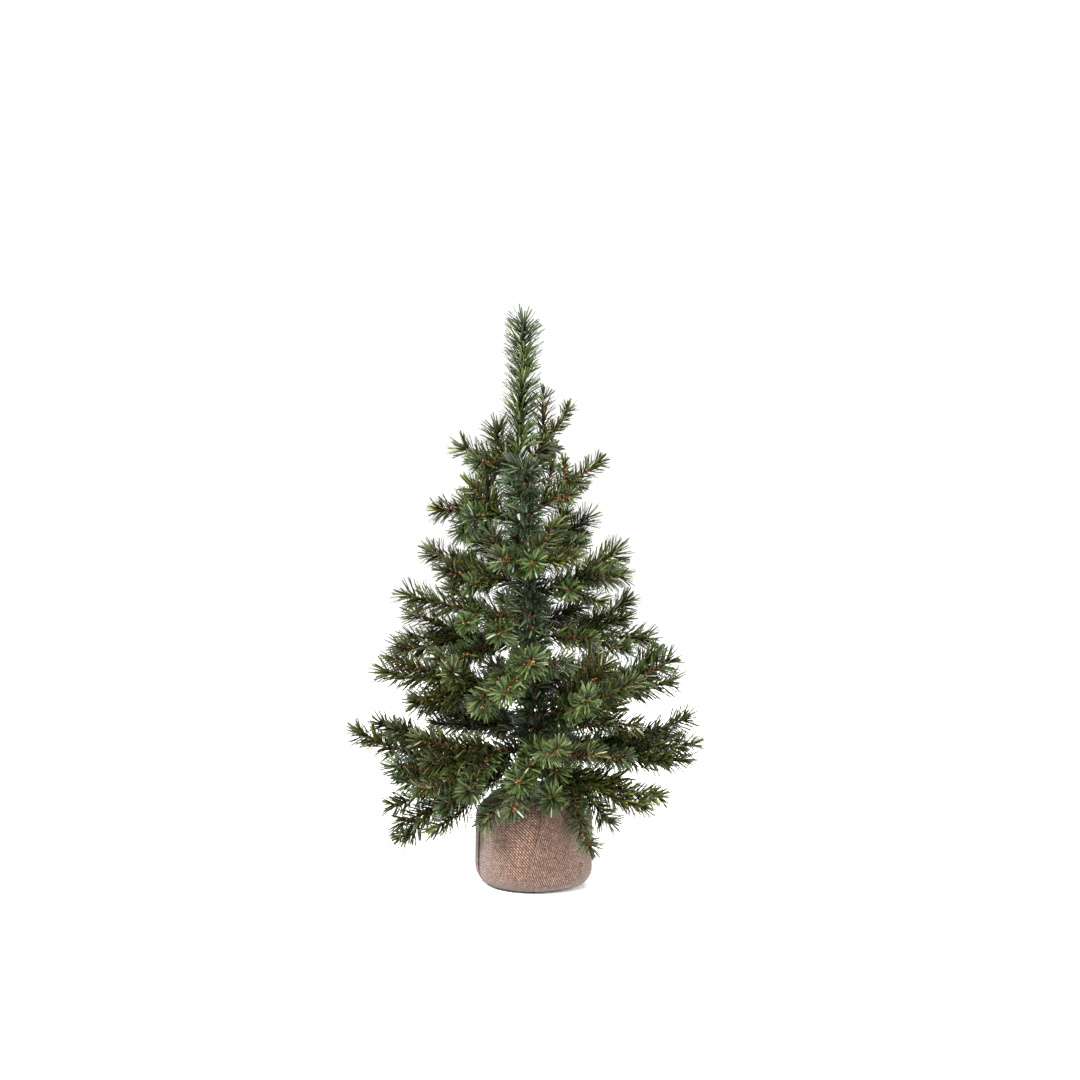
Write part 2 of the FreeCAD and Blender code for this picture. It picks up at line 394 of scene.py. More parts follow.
def strips(roots, directions, bends, flats, lengths, width):
    """Curved film strips: their vertices, faces, and each vertex's share of its strip's length."""
    points = [roots]
    heading = directions
    for low, high in zip(RING_PLACES[:-1], RING_PLACES[1:]):
        heading = unit(heading + bends * (high - low))
        points.append(points[-1] + heading * (lengths * (high - low))[:, None])
    points = np.stack(points, axis=1)
    heading = unit(np.gradient(points, axis=1))
    flat = unit(flats[:, None] - heading * (flats[:, None] * heading).sum(axis=-1, keepdims=True))
    ridge = np.cross(heading, flat)
    half = (width / 2 * RING_WIDTHS)[None, :, None]
    edges = [points - flat * half, points + flat * half, points + ridge * NEEDLE_THICKNESS]
    vertices = np.stack(edges, axis=2).reshape(-1, 3)
    along = np.tile(np.repeat(RING_PLACES, STRIP_SIDES), len(roots))
    faces = []
    for strip in range(len(roots)):
        base = strip * STRIP_CORNERS
        faces.extend(tuple(base + index for index in face) for face in STRIP_FACES)
    return vertices, faces, along


def needle_places(start, end, density, open_end):
    """Where needles leave a path, as distances along it."""
    places = rng.uniform(start, end, int((end - start) * NEEDLES_PER_METRE * density))
    if open_end:
        places = np.append(places, rng.uniform(end - TUFT_RUN, end, TUFT_NEEDLES))
    return places


def film_rows(path, places, disorder, outward):
    """Points, tangents and spokes of needles in the two rows of a twisted film."""
    points, tangents, normals, sides = path.at(places)
    turns = FULL_TURN * places / TWIST_PITCH + math.pi * rng.integers(0, 2, len(places))
    turns += rng.normal(0, disorder, len(places))
    radial = spokes(turns, normals, sides)
    if outward is not None:
        away = outward(points)
        inward = np.minimum((radial * away).sum(axis=1, keepdims=True) - OUTWARD_AT_LEAST, 0)
        radial = unit(radial - OUTWARD_PUSH * inward * away)
    return points, tangents, radial


def brush(bundle, path, start, end, length, tone, density=1.0, open_end=True, outward=None,
          disorder=USUAL_DISORDER, cool=USUAL_COOL):
    """Needles held by the wires from start to end along a path."""
    places = needle_places(start, end, density, open_end)
    count = len(places)
    points, tangents, radial = film_rows(path, places, disorder, outward)
    closing = np.clip((end - places) / END_RUN, 0, 1) if open_end else np.ones(count)
    sweep = END_SWEEP + (SWEEP - END_SWEEP) * closing
    sweep = sweep + rng.normal(0, SWEEP_SPREAD * disorder + LEAST_SPREAD, count)
    if open_end:
        sweep[-TUFT_NEEDLES:] *= rng.uniform(*TUFT_SWEEP_SHARES, TUFT_NEEDLES)
    directions = unit(spokes(sweep, tangents, radial))
    bends = tangents * rng.normal(CURL, CURL_SPREAD, count)[:, None]
    bends = bends + rng.normal(0, BEND_SPREAD * disorder + LEAST_SPREAD, (count, 3))
    across = np.cross(tangents, radial)
    upright = unit(np.cross(directions, across))
    flats = spokes(rng.normal(0, ROLL_SPREAD, count), across, upright)
    lengths = length * rng.normal(1.0, LENGTH_SPREAD, count).clip(*LENGTH_LIMITS)
    lengths = lengths * (END_LENGTH + (1 - END_LENGTH) * closing)
    roots = points + radial * ROOT_RADIUS
    vertices, faces, along = strips(roots, directions, bends, flats, lengths, NEEDLE_WIDTH)
    tones = np.clip(tone + rng.normal(0, TONE_SPREAD, count), 0, LIGHT_TONE)
    # A few needles get the pale tone, a painted highlight.
    tones[rng.random(count) < PAINTED_HIGHLIGHT_SHARE] = PAINTED_HIGHLIGHT_TONE
    cools = np.clip(cool + rng.normal(0, COOL_SPREAD, count), 0, 1)
    bundle.add(vertices, faces, tone=per_corner(tones), cool=per_corner(cools), along=along)


def frays(bundle, path, start, end):
    """Short brown film ends that stick out all round at every half turn of the wires."""
    centres = np.arange(start, end, TWIST_PITCH / 2)
    places = np.repeat(centres, FRAYS_A_HALF_TURN)
    count = len(places)
    places = places + rng.normal(0, FRAY_SHIFT, count)
    points, tangents, normals, sides = path.at(places)
    radial = spokes(rng.uniform(0, FULL_TURN, count), normals, sides)
    directions = spokes(rng.uniform(*FRAY_LEAN, count), tangents, radial)
    flats = np.cross(tangents, radial)
    lengths = FRAY_LENGTH * rng.uniform(*FRAY_LENGTH_SHARES, count)
    straight = np.zeros_like(points)
    vertices, faces, _ = strips(points, directions, straight, flats, lengths, FRAY_WIDTH)
    bundle.add(vertices, faces, slot=1, fray=per_corner(rng.uniform(0, 1, count)))


def twisted(bundle, path, end):
    """Two wires twisted together, with the brown film ends between them."""
    places = np.linspace(0, end, max(FEWEST_WIRE_POINTS, int(end / WIRE_STEP)))
    points, _, normals, sides = path.at(places)
    spoke = spokes(FULL_TURN * places / TWIST_PITCH + math.pi / 2, normals, sides)
    for sign in (1, -1):
        vertices, faces = tube(points + sign * spoke * STRAND_RADIUS, STRAND_RADIUS, STRAND_SIDES)
        bundle.add(vertices, faces, slot=0, fray=np.zeros(len(vertices)))
    frays(bundle, path, STUB, end)


# -------------------------------------------------- material helpers

def new_material(name):
    material = bpy.data.materials.new(name)
    material.use_nodes = True
    nodes = material.node_tree.nodes
    return material, nodes, material.node_tree.links, nodes["Principled BSDF"]


def ramp(nodes, links, source, stops):
    """Colour ramp from (place, colour) stops, driven by source."""
    node = nodes.new("ShaderNodeValToRGB")
    elements = node.color_ramp.elements
    while len(elements) < len(stops):
        elements.new(0.5)
    for element, (place, colour) in zip(elements, stops):
        element.position = place
        element.color = (*colour, 1.0)
    links.new(source, node.inputs["Fac"])
    return node.outputs["Color"]


def noise(nodes, scale, detail=2.0):
    node = nodes.new("ShaderNodeTexNoise")
    node.inputs["Scale"].default_value = scale
    node.inputs["Detail"].default_value = detail
    return node.outputs["Fac"]


def calculate(nodes, links, operation, first, second=None):
    """One math node. Each input is a socket or a plain number."""
    node = nodes.new("ShaderNodeMath")
    node.operation = operation
    for socket, value in zip(node.inputs, (first, second)):
        if isinstance(value, (int, float)):
            socket.default_value = value
        elif value is not None:
            links.new(value, socket)
    return node.outputs[0]


def mix_colour(nodes, links, share, first, second, blend="MIX"):
    """Mix of two colours. share is a socket or a number, each colour a socket or a tuple."""
    node = nodes.new("ShaderNodeMix")
    node.data_type = "RGBA"
    node.blend_type = blend
    share_in = node.inputs[0]
    colour_in = [socket for socket in node.inputs if socket.type == "RGBA"]
    for socket, value in zip([share_in] + colour_in, (share, first, second)):
        if isinstance(value, (int, float)):
            socket.default_value = value
        elif isinstance(value, tuple):
            socket.default_value = (*value, 1.0)
        else:
            links.new(value, socket)
    return [socket for socket in node.outputs if socket.type == "RGBA"][0]


def multiplied(nodes, links, first, second):
    return mix_colour(nodes, links, 1.0, first, second, "MULTIPLY")


def attribute(nodes, name):
    node = nodes.new("ShaderNodeAttribute")
    node.attribute_name = name
    return node.outputs["Fac"]


def rescale(nodes, links, source, low, high):
    """source, from 0 to 1, spread from low to high."""
    node = nodes.new("ShaderNodeMapRange")
    node.inputs["To Min"].default_value = low
    node.inputs["To Max"].default_value = high
    links.new(source, node.inputs["Value"])
    return node.outputs["Result"]


def add_bump(nodes, links, shader, height, depth):
    node = nodes.new("ShaderNodeBump")
    node.inputs["Distance"].default_value = depth
    links.new(height, node.inputs["Height"])
    links.new(node.outputs["Normal"], shader.inputs["Normal"])


# -------------------------------------------------- materials

# Colours are linear red, green and blue. A film's four colours go from dark to light, then pale, a painted
# highlight.
FIR_FILM = ((0.005, 0.008, 0.0015), (0.020, 0.031, 0.0055), (0.088, 0.118, 0.025), (0.36, 0.41, 0.27))
GARLAND_FILM = ((0.005, 0.010, 0.004), (0.022, 0.040, 0.015), (0.090, 0.140, 0.060), (0.30, 0.37, 0.28))
BROWN_SHADE = (0.013, 0.008, 0.002)
WARM_TINT = (1.22, 1.02, 0.85)
COOL_TINT = (0.80, 1.04, 1.5)
WHITE = (1.0, 1.0, 1.0)
END_PALER = 0.35
END_PALER_POWER = 2.5


def needle_material(name, film):
    """Plastic film needles: darker at the root as painted shade, paler at the cut end, with uneven gloss.
    """
    material, nodes, links, shader = new_material(name)
    dark, middle, light, pale = film
    # The ramp's top colour, the film's pale one, is a painted highlight on a few needles.
    shades = ramp(nodes, links, attribute(nodes, "tone"), [
        (0.0, BROWN_SHADE),
        (0.22, dark),
        (0.55, middle),
        (LIGHT_TONE, light),
        (PAINTED_HIGHLIGHT_TONE, pale),
    ])
    place = attribute(nodes, "along")
    streaks = noise(nodes, scale=420.0)
    near_end = calculate(nodes, links, "POWER", place, END_PALER_POWER)
    end_share = calculate(nodes, links, "MULTIPLY", near_end, END_PALER)
    colour = mix_colour(nodes, links, end_share, shades, light)
    patchy = ramp(nodes, links, streaks, [(0.3, (0.68, 0.70, 0.66)), (0.7, (1.15, 1.15, 1.1))])
    colour = multiplied(nodes, links, colour, patchy)
    # Painted shade: each needle darkens towards its root, deep inside the brush.
    painted_root_shade = ramp(nodes, links, place, [(0.0, (0.22, 0.18, 0.13)), (0.5, WHITE)])
    colour = multiplied(nodes, links, colour, painted_root_shade)
    hue = ramp(nodes, links, attribute(nodes, "cool"), [(0.0, WARM_TINT), (1.0, COOL_TINT)])
    colour = multiplied(nodes, links, colour, hue)
    links.new(colour, shader.inputs["Base Color"])
    links.new(rescale(nodes, links, streaks, low=0.22, high=0.5), shader.inputs["Roughness"])
    shader.inputs["Specular IOR Level"].default_value = 0.32
    return material


def wire_material():
    """Dark steel wire with a little wear."""
    material, nodes, links, shader = new_material("twisted_wire_steel")
    shades = ramp(nodes, links, noise(nodes, scale=900.0, detail=4.0),
                  [(0.3, (0.03, 0.028, 0.02)), (0.75, (0.13, 0.11, 0.075))])
    links.new(shades, shader.inputs["Base Color"])
    shader.inputs["Metallic"].default_value = 0.6
    shader.inputs["Roughness"].default_value = 0.45
    return material


def fray_material():
    """Brown film ends that read as orange-brown dots along the stems."""
    material, nodes, links, shader = new_material("brown_film")
    shades = ramp(nodes, links, attribute(nodes, "fray"),
                  [(0.0, (0.13, 0.045, 0.011)), (0.5, (0.32, 0.12, 0.03)), (1.0, (0.52, 0.25, 0.085))])
    links.new(shades, shader.inputs["Base Color"])
    shader.inputs["Roughness"].default_value = 0.5
    return material


def pot_material():
    """Moulded black plastic with a fine satin grain."""
    material, nodes, links, shader = new_material("pot_black_plastic")
    grain = noise(nodes, scale=700.0, detail=3.0)
    shades = ramp(nodes, links, grain, [(0.3, (0.012, 0.012, 0.013)), (0.75, (0.03, 0.03, 0.032))])
    links.new(shades, shader.inputs["Base Color"])
    links.new(rescale(nodes, links, grain, low=0.4, high=0.6), shader.inputs["Roughness"])
    add_bump(nodes, links, shader, grain, depth=0.1 * MM)
    return material


def cement_material():
    """Rough cast cement with darker grains and pits."""
    material, nodes, links, shader = new_material("cast_cement")
    cloudy = ramp(nodes, links, noise(nodes, scale=45.0, detail=5.0),
                  [(0.3, (0.30, 0.29, 0.27)), (0.7, (0.48, 0.47, 0.44))])
    grain = noise(nodes, scale=900.0, detail=4.0)
    speckle = ramp(nodes, links, grain, [(0.35, (0.6, 0.6, 0.58)), (0.6, WHITE)])
    links.new(multiplied(nodes, links, cloudy, speckle), shader.inputs["Base Color"])
    shader.inputs["Roughness"].default_value = 0.92
    add_bump(nodes, links, shader, grain, depth=0.5 * MM)
    return material


def trunk_material():
    """Green painted steel tube, a little worn."""
    material, nodes, links, shader = new_material("green_painted_steel")
    wear = noise(nodes, scale=160.0, detail=6.0)
    shades = ramp(nodes, links, wear,
                  [(0.3, (0.012, 0.045, 0.02)), (0.66, (0.022, 0.075, 0.034)), (0.74, (0.10, 0.12, 0.10))])
    links.new(shades, shader.inputs["Base Color"])
    links.new(rescale(nodes, links, wear, low=0.3, high=0.55), shader.inputs["Roughness"])
    return material


def jute_material():
    """Twisted jute string with pale and dark fibres."""
    material, nodes, links, shader = new_material("jute_string")
    fibres = noise(nodes, scale=1500.0, detail=3.0)
    shades = ramp(nodes, links, fibres,
                  [(0.3, (0.20, 0.125, 0.06)), (0.55, (0.42, 0.29, 0.16)), (0.8, (0.60, 0.46, 0.30))])
    links.new(shades, shader.inputs["Base Color"])
    shader.inputs["Roughness"].default_value = 0.9
    add_bump(nodes, links, shader, fibres, depth=0.15 * MM)
    return material


# The burlap's weave: how far its yarns wander, in threads, and the heights of each set of threads
# between under and over the other set.
YARN_WANDER = 0.4
WARP_HEIGHTS = (0.82, 1.0)
WEFT_HEIGHTS = (0.5, 0.85)


def burlap_threads(nodes, links, coordinate, other, heights):
    """Height and number of one set of threads: round across, and low and high over the other set."""
    across = calculate(nodes, links, "MULTIPLY", coordinate, math.pi)
    hump = calculate(nodes, links, "ABSOLUTE", calculate(nodes, links, "SINE", across))
    thread = calculate(nodes, links, "FLOOR", coordinate)
    shifted = calculate(nodes, links, "ADD", other, thread)
    wave = calculate(nodes, links, "MULTIPLY", shifted, math.pi)
    over = rescale(nodes, links, calculate(nodes, links, "SINE", wave), *heights)
    return calculate(nodes, links, "MULTIPLY", hump, over), thread


def burlap_yarn_tone(nodes, links, warp_thread, weft_thread):
    """A tone of its own for each short piece of yarn."""
    place = nodes.new("ShaderNodeCombineXYZ")
    links.new(warp_thread, place.inputs["X"])
    links.new(weft_thread, place.inputs["Y"])
    chance = nodes.new("ShaderNodeTexWhiteNoise")
    chance.noise_dimensions = "2D"
    links.new(place.outputs["Vector"], chance.inputs["Vector"])
    return ramp(nodes, links, chance.outputs["Value"],
                [(0.0, (0.62, 0.60, 0.58)), (1.0, (1.36, 1.34, 1.34))])


def burlap_material():
    """Coarse plain weave. The cloth's own coordinates are in threads, one unit a thread."""
    material, nodes, links, shader = new_material("burlap_weave")
    wander = rescale(nodes, links, noise(nodes, scale=60.0), -YARN_WANDER, YARN_WANDER)
    warp = calculate(nodes, links, "ADD", attribute(nodes, "warp"), wander)
    weft = calculate(nodes, links, "ADD", attribute(nodes, "weft"), wander)
    warp_height, warp_thread = burlap_threads(nodes, links, warp, weft, WARP_HEIGHTS)
    weft_height, weft_thread = burlap_threads(nodes, links, weft, warp, WEFT_HEIGHTS)
    height = calculate(nodes, links, "MAXIMUM", warp_height, weft_height)
    # Painted shade of the weave: darker where the yarn is lower, at its rounded sides, where it dips under
    # the other set and in the gaps.
    weave = ramp(nodes, links, height, [
        (0.3, (0.013, 0.006, 0.003)),
        (0.6, (0.080, 0.044, 0.029)),
        (1.0, (0.225, 0.145, 0.108)),
    ])
    yarn_tone = burlap_yarn_tone(nodes, links, warp_thread, weft_thread)
    colour = multiplied(nodes, links, weave, yarn_tone)
    patches = ramp(nodes, links, noise(nodes, scale=38.0, detail=4.0),
                   [(0.3, (0.86, 0.85, 0.84)), (0.7, (1.1, 1.1, 1.1))])
    colour = multiplied(nodes, links, colour, patches)
    links.new(colour, shader.inputs["Base Color"])
    shader.inputs["Roughness"].default_value = 0.95
    shader.inputs["Specular IOR Level"].default_value = 0.15
    shader.inputs["Sheen Weight"].default_value = 0.25
    add_bump(nodes, links, shader, height, depth=0.7 * MM)
    return material


def make_materials():
    return {
        "needles": needle_material("fir_needle_film", FIR_FILM),
        "garland": needle_material("garland_needle_film", GARLAND_FILM),
        "wire": wire_material(),
        "fray": fray_material(),
        "burlap": burlap_material(),
        "jute": jute_material(),
    }


def finish_cad_nodes():
    """Materials of the CAD nodes that stay: the pot, its cement and the trunk."""
    kept = {
        "base_pot": pot_material(),
        "cement_weight": cement_material(),
        "trunk_rod": trunk_material(),
    }
    for node, material in kept.items():
        mesh = frame["nodes"][node].data
        if not mesh.materials:
            mesh.materials.append(material)
        for index in range(len(mesh.materials)):
            mesh.materials[index] = material


# -------------------------------------------------- branches, leader and trunk

def hinge_of(body):
    for joint in frame["joints"]:
        if joint["child"] == body:
            return np.array(joint["pos_m"], float)
    raise ValueError(f"no joint moves {body}")


def branch_paths(fork, tips, hinge):
    """Stem path and tip paths. Tips leave partly along the stem and curl up a little."""
    stem_way = unit(fork - hinge)
    start = hinge - stem_way * STUB
    stem = Path(hermite(start, stem_way * STEM_PULL, fork, stem_way * STEM_PULL))
    runs = []
    for foot, tip in tips:
        span = tip - foot
        reach = np.linalg.norm(span)
        way = span / reach
        facing = max(-way[1], 0.0)
        leave = unit(TIP_ALONG_STEM * stem_way + way) * reach
        upward = TIP_UPWARD + FACING_UPWARD * facing
        astray = rng.normal(0, TIP_ASTRAY + FACING_ASTRAY * facing, 3)
        arrive = unit(way + upward * UP + astray) * reach
        runs.append(Path(hermite(foot, leave, tip, arrive)))
    return stem, runs


def brush_tip(bundle, path, wire_end, young):
    """Needles of one tip, by how far it points to the front and whether its branch is young."""
    facing = max(-path.tangents[len(path.tangents) // 2][1], 0.0)
    # Painted light: tips that face the front get a lighter tone and a cooler green.
    tone = TIP_TONE + FACING_PAINTED_LIGHT * facing + rng.normal(0, TIP_TONE_SPREAD)
    cool = TIP_COOL + FACING_PAINTED_COOL * facing + rng.normal(0, TIP_COOL_SPREAD)
    length_share = rng.uniform(*TIP_LENGTHS) - YOUNG_SHORTER * young - FACING_SHORTER * facing
    density = rng.uniform(*TIP_DENSITIES) - YOUNG_THINNER * young
    disorder = rng.uniform(*TIP_DISORDERS) + FACING_UNTIDIER * facing
    brush(bundle, path, 0.0, wire_end, NEEDLE_LENGTH * length_share, tone, density,
          disorder=disorder, cool=cool)


def finish_piece(piece, body, slot, *replaced):
    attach(piece, body)
    if replaced:
        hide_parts(*replaced)


def make_branch(body, materials):
    number = body.split("_")[-1]
    needles_node, wire_node = f"branch_{number}_needles", f"branch_{number}_wire"
    hinge = hinge_of(body)
    fork, tips = branch_lines(needles_node, hinge)
    stem, runs = branch_paths(fork, tips, hinge)
    foliage, wires = Bundle(), Bundle()
    brush(foliage, stem, STUB + STEM_BARE, stem.length, NEEDLE_LENGTH, STEM_TONE, open_end=False)
    twisted(wires, stem, stem.length)
    for run in runs:
        wire_end = run.length - WIRE_SHORT_OF_TIP
        brush_tip(foliage, run, wire_end, number in YOUNG_BRANCHES)
        twisted(wires, run, wire_end)
    piece = foliage.build(f"fir_needles_{number}", [materials["needles"]])
    finish_piece(piece, body, "needles", needles_node)
    core = wires.build(f"twisted_stem_{number}", [materials["wire"], materials["fray"]])
    finish_piece(core, body, "twisted_wire", wire_node)


def make_leader(materials):
    foot, top = nearer_first(core_axis(islands("leader_needles")[0]), np.zeros(3))
    span = np.linalg.norm(top - foot)
    lean = np.array([LEADER_LEAN, 0.0, 0.0])
    bow = np.array([LEADER_BOW, 0.0, 0.0])
    path = Path(hermite(foot - lean, (UP + bow) * span, top + lean, (UP - bow) * span))
    wire_end = path.length - LEADER_BARE_END
    foliage, wires = Bundle(), Bundle()
    brush(foliage, path, 0.0, wire_end, LEADER_NEEDLE_LENGTH, LEADER_TONE, LEADER_DENSITY,
          cool=LEADER_COOL)
    twisted(wires, path, wire_end)
    piece = foliage.build("leader_fir_needles", [materials["needles"]])
    finish_piece(piece, "tree_base", "needles", "leader_needles")
    core = wires.build("leader_twisted_stem", [materials["wire"], materials["fray"]])
    finish_piece(core, "tree_base", "twisted_wire", "leader_wire")


def garland_axis():
    """Low and high ends of the leaning trunk garland's axis."""
    points = islands("trunk_garland")[0]
    heights = points[:, 2]
    low = points[heights < heights.min() + GARLAND_END_SLICE].mean(axis=0)
    high = points[heights > heights.max() - GARLAND_END_SLICE].mean(axis=0)
    return low, high


def make_trunk(materials):
    """Needle garland wound round the trunk as a helix."""
    low, high = garland_axis()
    axis = unit(high - low)
    turns = np.linalg.norm(high - low) / GARLAND_PITCH
    t = np.linspace(0, 1, int(turns * GARLAND_STEPS_A_TURN))
    across = unit(np.cross(axis, [0, 1, 0]))
    ring = spokes(FULL_TURN * turns * t, across[None, :], np.cross(across, axis)[None, :])
    path = Path(low + (high - low) * t[:, None] + ring * GARLAND_RADIUS)

    def outward(points):
        from_axis = points - low
        return unit(from_axis - np.outer(from_axis @ axis, axis))

    foliage, wires = Bundle(), Bundle()
    brush(foliage, path, 0.0, path.length, NEEDLE_LENGTH, GARLAND_TONE, GARLAND_DENSITY,
          open_end=False, outward=outward, disorder=GARLAND_DISORDER)
    twisted(wires, path, path.length)
    piece = foliage.build("trunk_garland_needles", [materials["garland"]])
    finish_piece(piece, "tree_base", "garland_needles", "trunk_garland")
    core = wires.build("trunk_garland_wires", [materials["wire"], materials["fray"]])
    finish_piece(core, "tree_base", "twisted_wire")


# -------------------------------------------------- burlap sack

# Sizes of the cloth's details are in millimetres in the lists below. The outline runs from the
# middle of the underside to the frill, as (radius, height).
SACK_OUTLINE = np.array([
    (3.0, 0.4), (24.0, 0.4), (40.0, 0.4), (53.0, 3.2), (60.5, 12.0), (61.5, 24.0), (61.5, 44.0),
    (61.5, 62.0), (60.5, 77.0), (54.0, 87.5), (44.0, 92.5), (28.0, 96.0), (16.0, 98.5),
    (13.0, 100.0), (13.2, 102.0), (17.0, 107.0),
]) * MM
SACK_RADIUS = 61.5 * MM
SACK_ROUND = FULL_TURN * SACK_RADIUS
UNDERSIDE_TOP = 2.0 * MM
CLEAR_OF_FLOOR = 0.3 * MM
CLOTH_THICKNESS = 0.6 * MM
GRID_STEP = 1.5 * MM
THREADS_PER_METRE = 490

# Knife pleats: places round the sack in degrees from the front at the foot and at the shoulder, which
# side lies on top, depth, and weave angle of the cloth panel that begins there.
Pleat = namedtuple("Pleat", "foot shoulder side depth weave")
PLEATS = [
    Pleat(-6.5, 7.0, 1, 7.0, 28),
    Pleat(70.0, 64.0, -1, 5.0, 10),
    Pleat(152.0, 140.0, 1, 6.0, 40),
    Pleat(218.0, 226.0, -1, 5.0, 18),
    Pleat(291.0, 293.0, -1, 5.0, 46),
]

# How the pleats start above the foot, slant up the wall, die out at the neck and lift the cloth.
# The slant takes the cloth along on both sides, as far as its reach in radians.
PLEAT_RISE = (6.0 * MM, 26.0 * MM)
PLEAT_SLANT_RUN = (5.0 * MM, 90.0 * MM)
PLEAT_FADE = (90.0 * MM, 96.0 * MM)
PLEAT_SLANT_REACH = 0.5
PLEAT_LIFT = 0.9 * MM
PLEAT_REACH = 16.0 * MM

# A fold's five columns, from the top layer down: share of its depth, and height in lifts. Where the
# pleat has died out, a little of both is left. The next cloth panel begins at the hidden column.
FOLD_SHIFTS = np.array([0.08, 0.0, 0.95, 1.0, -0.05])
FOLD_LIFTS = np.array([2.0, 1.0, -0.9, -1.0, 0.0])
FLAT_FOLD_DEPTH = 0.12
FLAT_FOLD_LIFT = 0.15
HIDDEN_FOLD_STEP = 3

# A column of the cloth's grid: its angle at rest, and the pleat and fold step that it belongs to.
# A plain column nearer to a pleat than the clearance, in column gaps, gives way to the fold's.
Column = namedtuple("Column", "angle pleat step")
PLEAT_CLEARANCE = 0.6

# Creases pressed into the cloth: (degrees from the front, height) of both ends, and depth. A crease
# is a valley with a ridge beside it. The ridge's height, place and width are shares of the valley's.
CREASES = [
    ((25, 90), (41, 66), 2.2),
    ((33, 91), (52, 76), 1.8),
    ((50, 34), (47, 20), 1.6),
    ((-30, 88), (-38, 60), 1.4),
    ((-52, 84), (-50, 50), 1.2),
    ((100, 88), (112, 52), 1.8),
    ((175, 86), (168, 48), 1.8),
    ((250, 88), (244, 55), 1.6),
]
CREASE_WIDTH = 1.7 * MM
CREASE_END_SHARE = 0.3
RIDGE_HEIGHT = 0.9
RIDGE_PLACE = 2.2
RIDGE_WIDTH = 1.6

# Gathers under the tie: (waves round the neck, size). They start on the upper wall, grow over the
# shoulder and are pressed flatter at the neck itself.
GATHERS = [(9, 0.9), (15, 1.0), (22, 0.8), (31, 0.45)]
GATHER_PHASE = 2.1
GATHER_WOBBLE = 0.4
GATHER_WOBBLE_WAVES = 3
GATHER_RUN = (60.0 * MM, 92.0 * MM)
GATHER_ON_WALL = 0.5
GATHER_ON_SHOULDER = 2.2
GATHER_PRESSED = 0.55
SHOULDER_FROM = 50.0 * MM

# The cloth's uneven fullness on the wall: (waves round the sack, waves' slant, phase, size).
FULLNESS = [(3, 0, 0.7, 0.45), (5, 40, 2.0, 0.35), (8, -55, 0.0, 0.25)]
FULLNESS_RUN = (6.0 * MM, 24.0 * MM)


def smoothed(points, rounds=3):
    """Corner-cut polyline, which rounds its corners."""
    for _ in range(rounds):
        early = points[:-1] * 0.75 + points[1:] * 0.25
        late = points[:-1] * 0.25 + points[1:] * 0.75
        middle = np.stack([early, late], axis=1).reshape(-1, points.shape[1])
        points = np.vstack([points[:1], middle, points[-1:]])
    return points


def column_order(column):
    """Sorting key: by angle, and within a fold from one side of the pleat to the other."""
    side = 0 if column.pleat is None else PLEATS[column.pleat].side
    return column.angle, -column.step * side


def cloth_columns():
    """Evenly spaced columns all round, and a fold's columns at each pleat."""
    count = int(SACK_ROUND / GRID_STEP)
    gap = FULL_TURN / count
    columns = []
    for angle in np.linspace(0, FULL_TURN, count, endpoint=False):
        away = [abs(wrapped(angle - math.radians(pleat.foot), FULL_TURN)) for pleat in PLEATS]
        if min(away) > gap * PLEAT_CLEARANCE:
            columns.append(Column(angle, None, 0))
    for number, pleat in enumerate(PLEATS):
        angle = math.radians(pleat.foot) % FULL_TURN
        for step in range(len(FOLD_SHIFTS)):
            columns.append(Column(angle, number, step))
    return sorted(columns, key=column_order)


